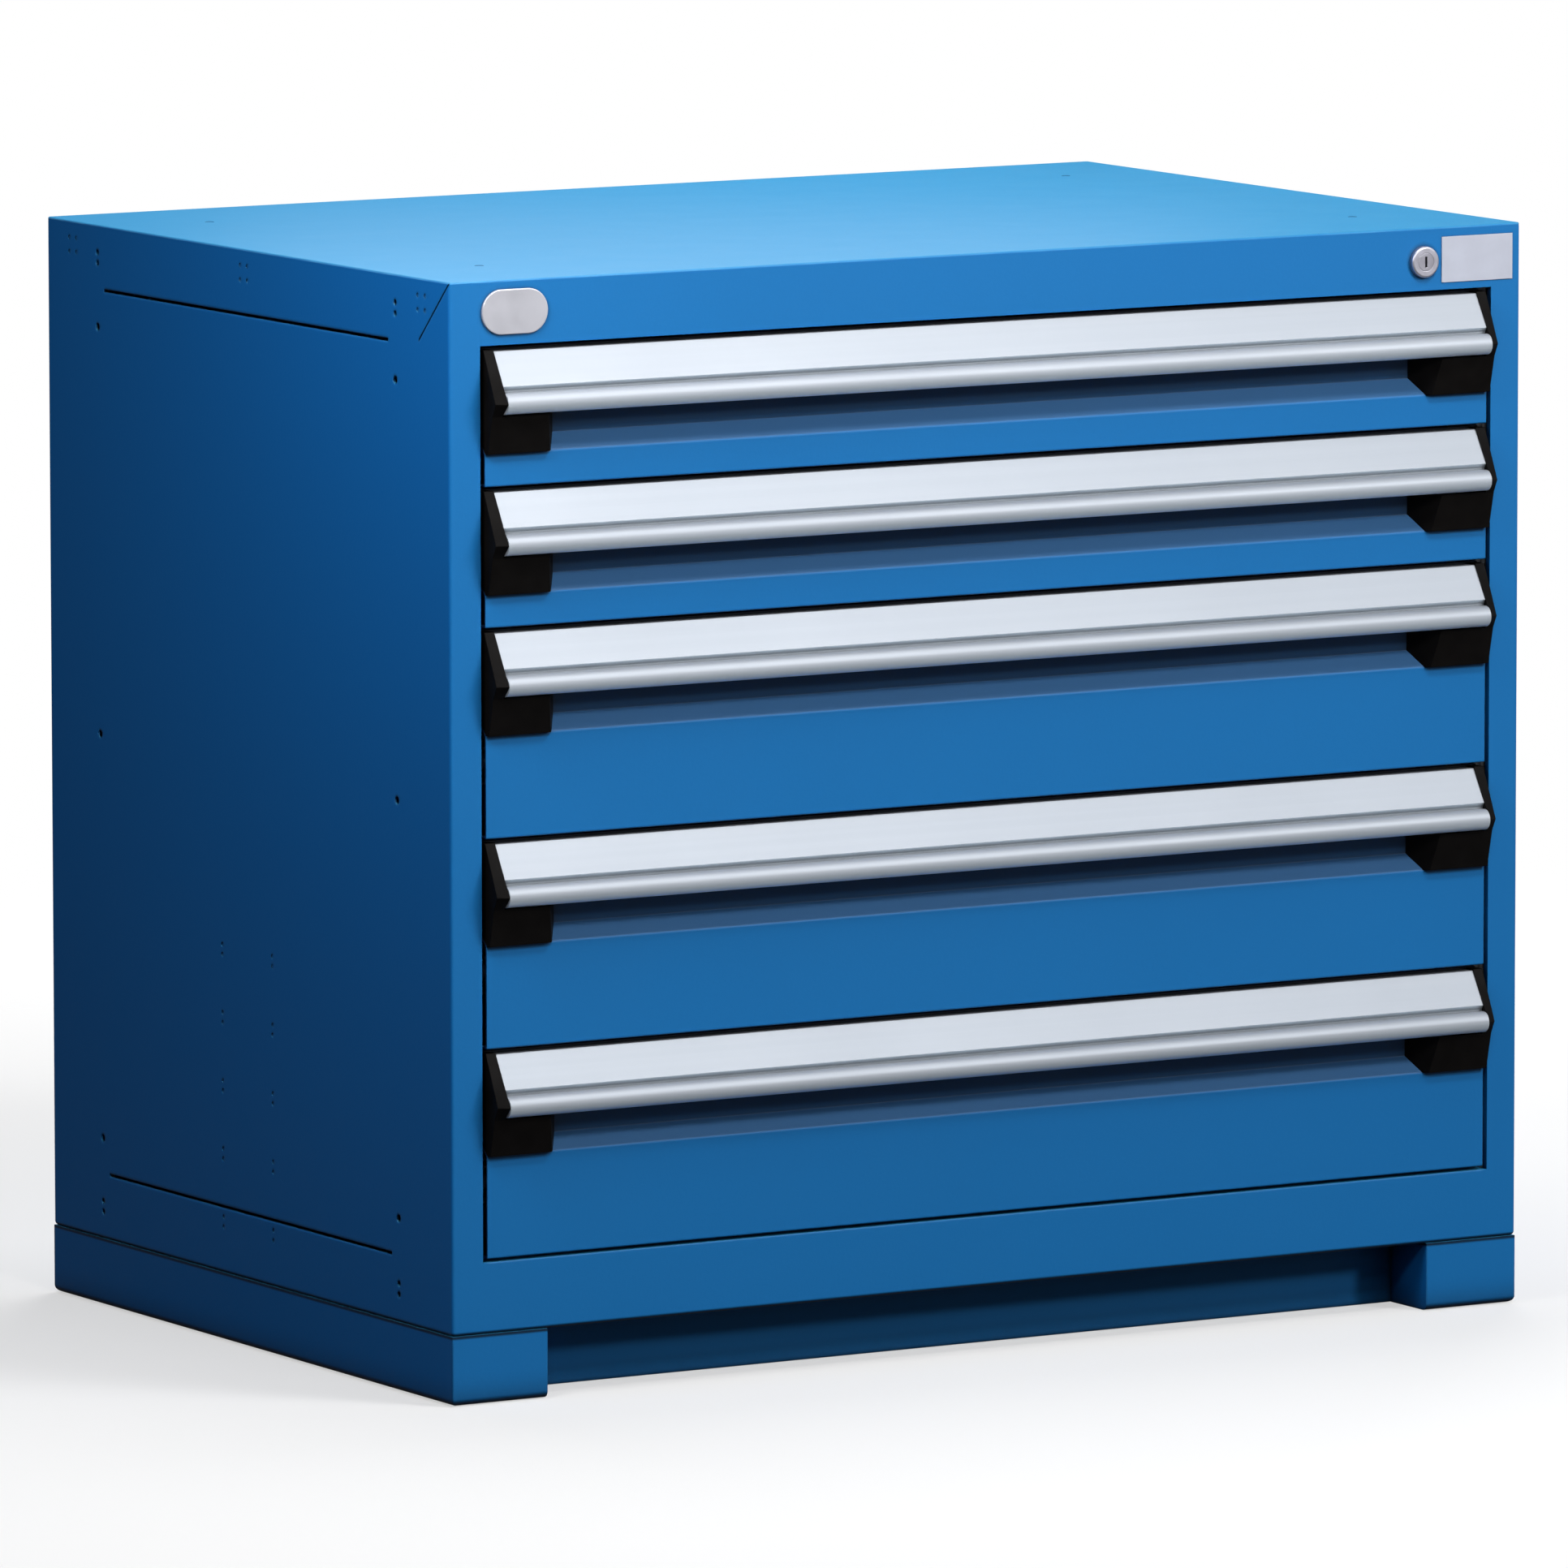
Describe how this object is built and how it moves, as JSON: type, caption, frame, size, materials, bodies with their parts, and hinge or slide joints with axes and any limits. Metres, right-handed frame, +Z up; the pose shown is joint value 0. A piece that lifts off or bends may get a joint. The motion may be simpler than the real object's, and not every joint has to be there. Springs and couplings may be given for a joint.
{
  "type": "modular drawer cabinet",
  "caption": "Sheet-steel cabinet on a recessed base, with full-width drawers on telescopic roller slides, aluminium handles and a central lock.",
  "frame": {"origin": "on the floor, under the middle of the whole cabinet, handles included", "axes": "+X to the right seen from the front, +Y to the back, +Z up; the drawers open towards -Y"},
  "size_m": [0.9144, 0.6302, 0.8128],
  "materials": {
    "housing_paint": "satin powder coat",
    "drawer_paint": "satin powder coat",
    "tray_paint": "satin powder coat",
    "handle_aluminium": "satin anodised",
    "black_plastic": "fine texture",
    "zinc_steel": "zinc plated",
    "roller_steel": "turned",
    "fasteners": "zinc plated",
    "lock_metal": "satin chrome",
    "lock_plug_metal": "satin chrome",
    "label_face": "matt film",
    "badge_face": "satin"
  },
  "bodies": {
    "cabinet": {"side_panel_left": "housing_paint", "side_panel_right": "housing_paint", "top_panel": "housing_paint", "back_panel": "housing_paint", "floor_panel": "housing_paint", "front_header": "housing_paint", "front_sill": "housing_paint", "base_skirt_left": "housing_paint", "base_skirt_right": "housing_paint", "toe_panel": "housing_paint", "base_rear_rail": "housing_paint", "slotted_posts": "zinc_steel", "slide_rails": "zinc_steel", "base_bolts": "fasteners", "lock_cylinder": "lock_metal", "lock_bar_guides": "zinc_steel", "blank_label": "label_face", "blank_badge": "badge_face"},
    "drawer_1": {"drawer_front_1": "drawer_paint", "drawer_tray_1": "tray_paint", "handle_1": "handle_aluminium", "end_caps_1": "black_plastic", "drawer_runners_1": "zinc_steel"},
    "carriage_1": {"slide_carriage_1": "zinc_steel"},
    "rail_roller_pair_1": {"rail_rollers_1": "roller_steel"},
    "carriage_roller_pair_1": {"carriage_rollers_1": "roller_steel"},
    "drawer_2": {"drawer_front_2": "drawer_paint", "drawer_tray_2": "tray_paint", "handle_2": "handle_aluminium", "end_caps_2": "black_plastic", "drawer_runners_2": "zinc_steel"},
    "carriage_2": {"slide_carriage_2": "zinc_steel"},
    "rail_roller_pair_2": {"rail_rollers_2": "roller_steel"},
    "carriage_roller_pair_2": {"carriage_rollers_2": "roller_steel"},
    "drawer_3": {"drawer_front_3": "drawer_paint", "drawer_tray_3": "tray_paint", "handle_3": "handle_aluminium", "end_caps_3": "black_plastic", "drawer_runners_3": "zinc_steel"},
    "carriage_3": {"slide_carriage_3": "zinc_steel"},
    "rail_roller_pair_3": {"rail_rollers_3": "roller_steel"},
    "carriage_roller_pair_3": {"carriage_rollers_3": "roller_steel"},
    "drawer_4": {"drawer_front_4": "drawer_paint", "drawer_tray_4": "tray_paint", "handle_4": "handle_aluminium", "end_caps_4": "black_plastic", "drawer_runners_4": "zinc_steel"},
    "carriage_4": {"slide_carriage_4": "zinc_steel"},
    "rail_roller_pair_4": {"rail_rollers_4": "roller_steel"},
    "carriage_roller_pair_4": {"carriage_rollers_4": "roller_steel"},
    "drawer_5": {"drawer_front_5": "drawer_paint", "drawer_tray_5": "tray_paint", "handle_5": "handle_aluminium", "end_caps_5": "black_plastic", "drawer_runners_5": "zinc_steel"},
    "carriage_5": {"slide_carriage_5": "zinc_steel"},
    "rail_roller_pair_5": {"rail_rollers_5": "roller_steel"},
    "carriage_roller_pair_5": {"carriage_rollers_5": "roller_steel"},
    "lock_plug": {"lock_plug": "lock_plug_metal"},
    "lock_bar": {"lock_bar": "zinc_steel"}
  },
  "joints": [
    {"name": "drawer_1_slide", "type": "slide", "parent": "cabinet", "child": "drawer_1", "axis": [0, -1, 0], "range_m": [0, 0.5334]},
    {"name": "carriage_1_slide", "type": "slide", "parent": "cabinet", "child": "carriage_1", "axis": [0, -1, 0], "range_m": [0, 0.2667]},
    {"name": "rail_roller_1_spin", "type": "hinge", "parent": "cabinet", "child": "rail_roller_pair_1", "pos_m": [0, -0.2445, 0.7134], "axis": [1, 0, 0], "continuous": true},
    {"name": "carriage_roller_1_spin", "type": "hinge", "parent": "carriage_1", "child": "carriage_roller_pair_1", "pos_m": [0, -0.2395, 0.7134], "axis": [1, 0, 0], "continuous": true},
    {"name": "drawer_2_slide", "type": "slide", "parent": "cabinet", "child": "drawer_2", "axis": [0, -1, 0], "range_m": [0, 0.5334]},
    {"name": "carriage_2_slide", "type": "slide", "parent": "cabinet", "child": "carriage_2", "axis": [0, -1, 0], "range_m": [0, 0.2667]},
    {"name": "rail_roller_2_spin", "type": "hinge", "parent": "cabinet", "child": "rail_roller_pair_2", "pos_m": [0, -0.2445, 0.6118], "axis": [1, 0, 0], "continuous": true},
    {"name": "carriage_roller_2_spin", "type": "hinge", "parent": "carriage_2", "child": "carriage_roller_pair_2", "pos_m": [0, -0.2395, 0.6118], "axis": [1, 0, 0], "continuous": true},
    {"name": "drawer_3_slide", "type": "slide", "parent": "cabinet", "child": "drawer_3", "axis": [0, -1, 0], "range_m": [0, 0.5334]},
    {"name": "carriage_3_slide", "type": "slide", "parent": "cabinet", "child": "carriage_3", "axis": [0, -1, 0], "range_m": [0, 0.2667]},
    {"name": "rail_roller_3_spin", "type": "hinge", "parent": "cabinet", "child": "rail_roller_pair_3", "pos_m": [0, -0.2445, 0.4594], "axis": [1, 0, 0], "continuous": true},
    {"name": "carriage_roller_3_spin", "type": "hinge", "parent": "carriage_3", "child": "carriage_roller_pair_3", "pos_m": [0, -0.2395, 0.4594], "axis": [1, 0, 0], "continuous": true},
    {"name": "drawer_4_slide", "type": "slide", "parent": "cabinet", "child": "drawer_4", "axis": [0, -1, 0], "range_m": [0, 0.5334]},
    {"name": "carriage_4_slide", "type": "slide", "parent": "cabinet", "child": "carriage_4", "axis": [0, -1, 0], "range_m": [0, 0.2667]},
    {"name": "rail_roller_4_spin", "type": "hinge", "parent": "cabinet", "child": "rail_roller_pair_4", "pos_m": [0, -0.2445, 0.307], "axis": [1, 0, 0], "continuous": true},
    {"name": "carriage_roller_4_spin", "type": "hinge", "parent": "carriage_4", "child": "carriage_roller_pair_4", "pos_m": [0, -0.2395, 0.307], "axis": [1, 0, 0], "continuous": true},
    {"name": "drawer_5_slide", "type": "slide", "parent": "cabinet", "child": "drawer_5", "axis": [0, -1, 0], "range_m": [0, 0.5334]},
    {"name": "carriage_5_slide", "type": "slide", "parent": "cabinet", "child": "carriage_5", "axis": [0, -1, 0], "range_m": [0, 0.2667]},
    {"name": "rail_roller_5_spin", "type": "hinge", "parent": "cabinet", "child": "rail_roller_pair_5", "pos_m": [0, -0.2445, 0.1546], "axis": [1, 0, 0], "continuous": true},
    {"name": "carriage_roller_5_spin", "type": "hinge", "parent": "carriage_5", "child": "carriage_roller_pair_5", "pos_m": [0, -0.2395, 0.1546], "axis": [1, 0, 0], "continuous": true},
    {"name": "lock_turn", "type": "hinge", "parent": "cabinet", "child": "lock_plug", "pos_m": [0.3716, -0.2945, 0.7874], "axis": [0, 1, 0], "range_deg": [0, 90]},
    {"name": "lock_bar_drop", "type": "slide", "parent": "cabinet", "child": "lock_bar", "axis": [0, 0, -1], "range_m": [0, 0.01049]}
  ],
  "couplings": [
    {"joint": "carriage_1_slide", "follows": "drawer_1_slide", "ratio": 0.5},
    {"joint": "rail_roller_1_spin", "follows": "drawer_1_slide", "rad_per_m": 45.455},
    {"joint": "carriage_roller_1_spin", "follows": "drawer_1_slide", "rad_per_m": 45.455},
    {"joint": "carriage_2_slide", "follows": "drawer_2_slide", "ratio": 0.5},
    {"joint": "rail_roller_2_spin", "follows": "drawer_2_slide", "rad_per_m": 45.455},
    {"joint": "carriage_roller_2_spin", "follows": "drawer_2_slide", "rad_per_m": 45.455},
    {"joint": "carriage_3_slide", "follows": "drawer_3_slide", "ratio": 0.5},
    {"joint": "rail_roller_3_spin", "follows": "drawer_3_slide", "rad_per_m": 45.455},
    {"joint": "carriage_roller_3_spin", "follows": "drawer_3_slide", "rad_per_m": 45.455},
    {"joint": "carriage_4_slide", "follows": "drawer_4_slide", "ratio": 0.5},
    {"joint": "rail_roller_4_spin", "follows": "drawer_4_slide", "rad_per_m": 45.455},
    {"joint": "carriage_roller_4_spin", "follows": "drawer_4_slide", "rad_per_m": 45.455},
    {"joint": "carriage_5_slide", "follows": "drawer_5_slide", "ratio": 0.5},
    {"joint": "rail_roller_5_spin", "follows": "drawer_5_slide", "rad_per_m": 45.455},
    {"joint": "carriage_roller_5_spin", "follows": "drawer_5_slide", "rad_per_m": 45.455},
    {"joint": "lock_turn", "follows": "lock_bar_drop", "rad_per_m": 149.69}
  ]
}
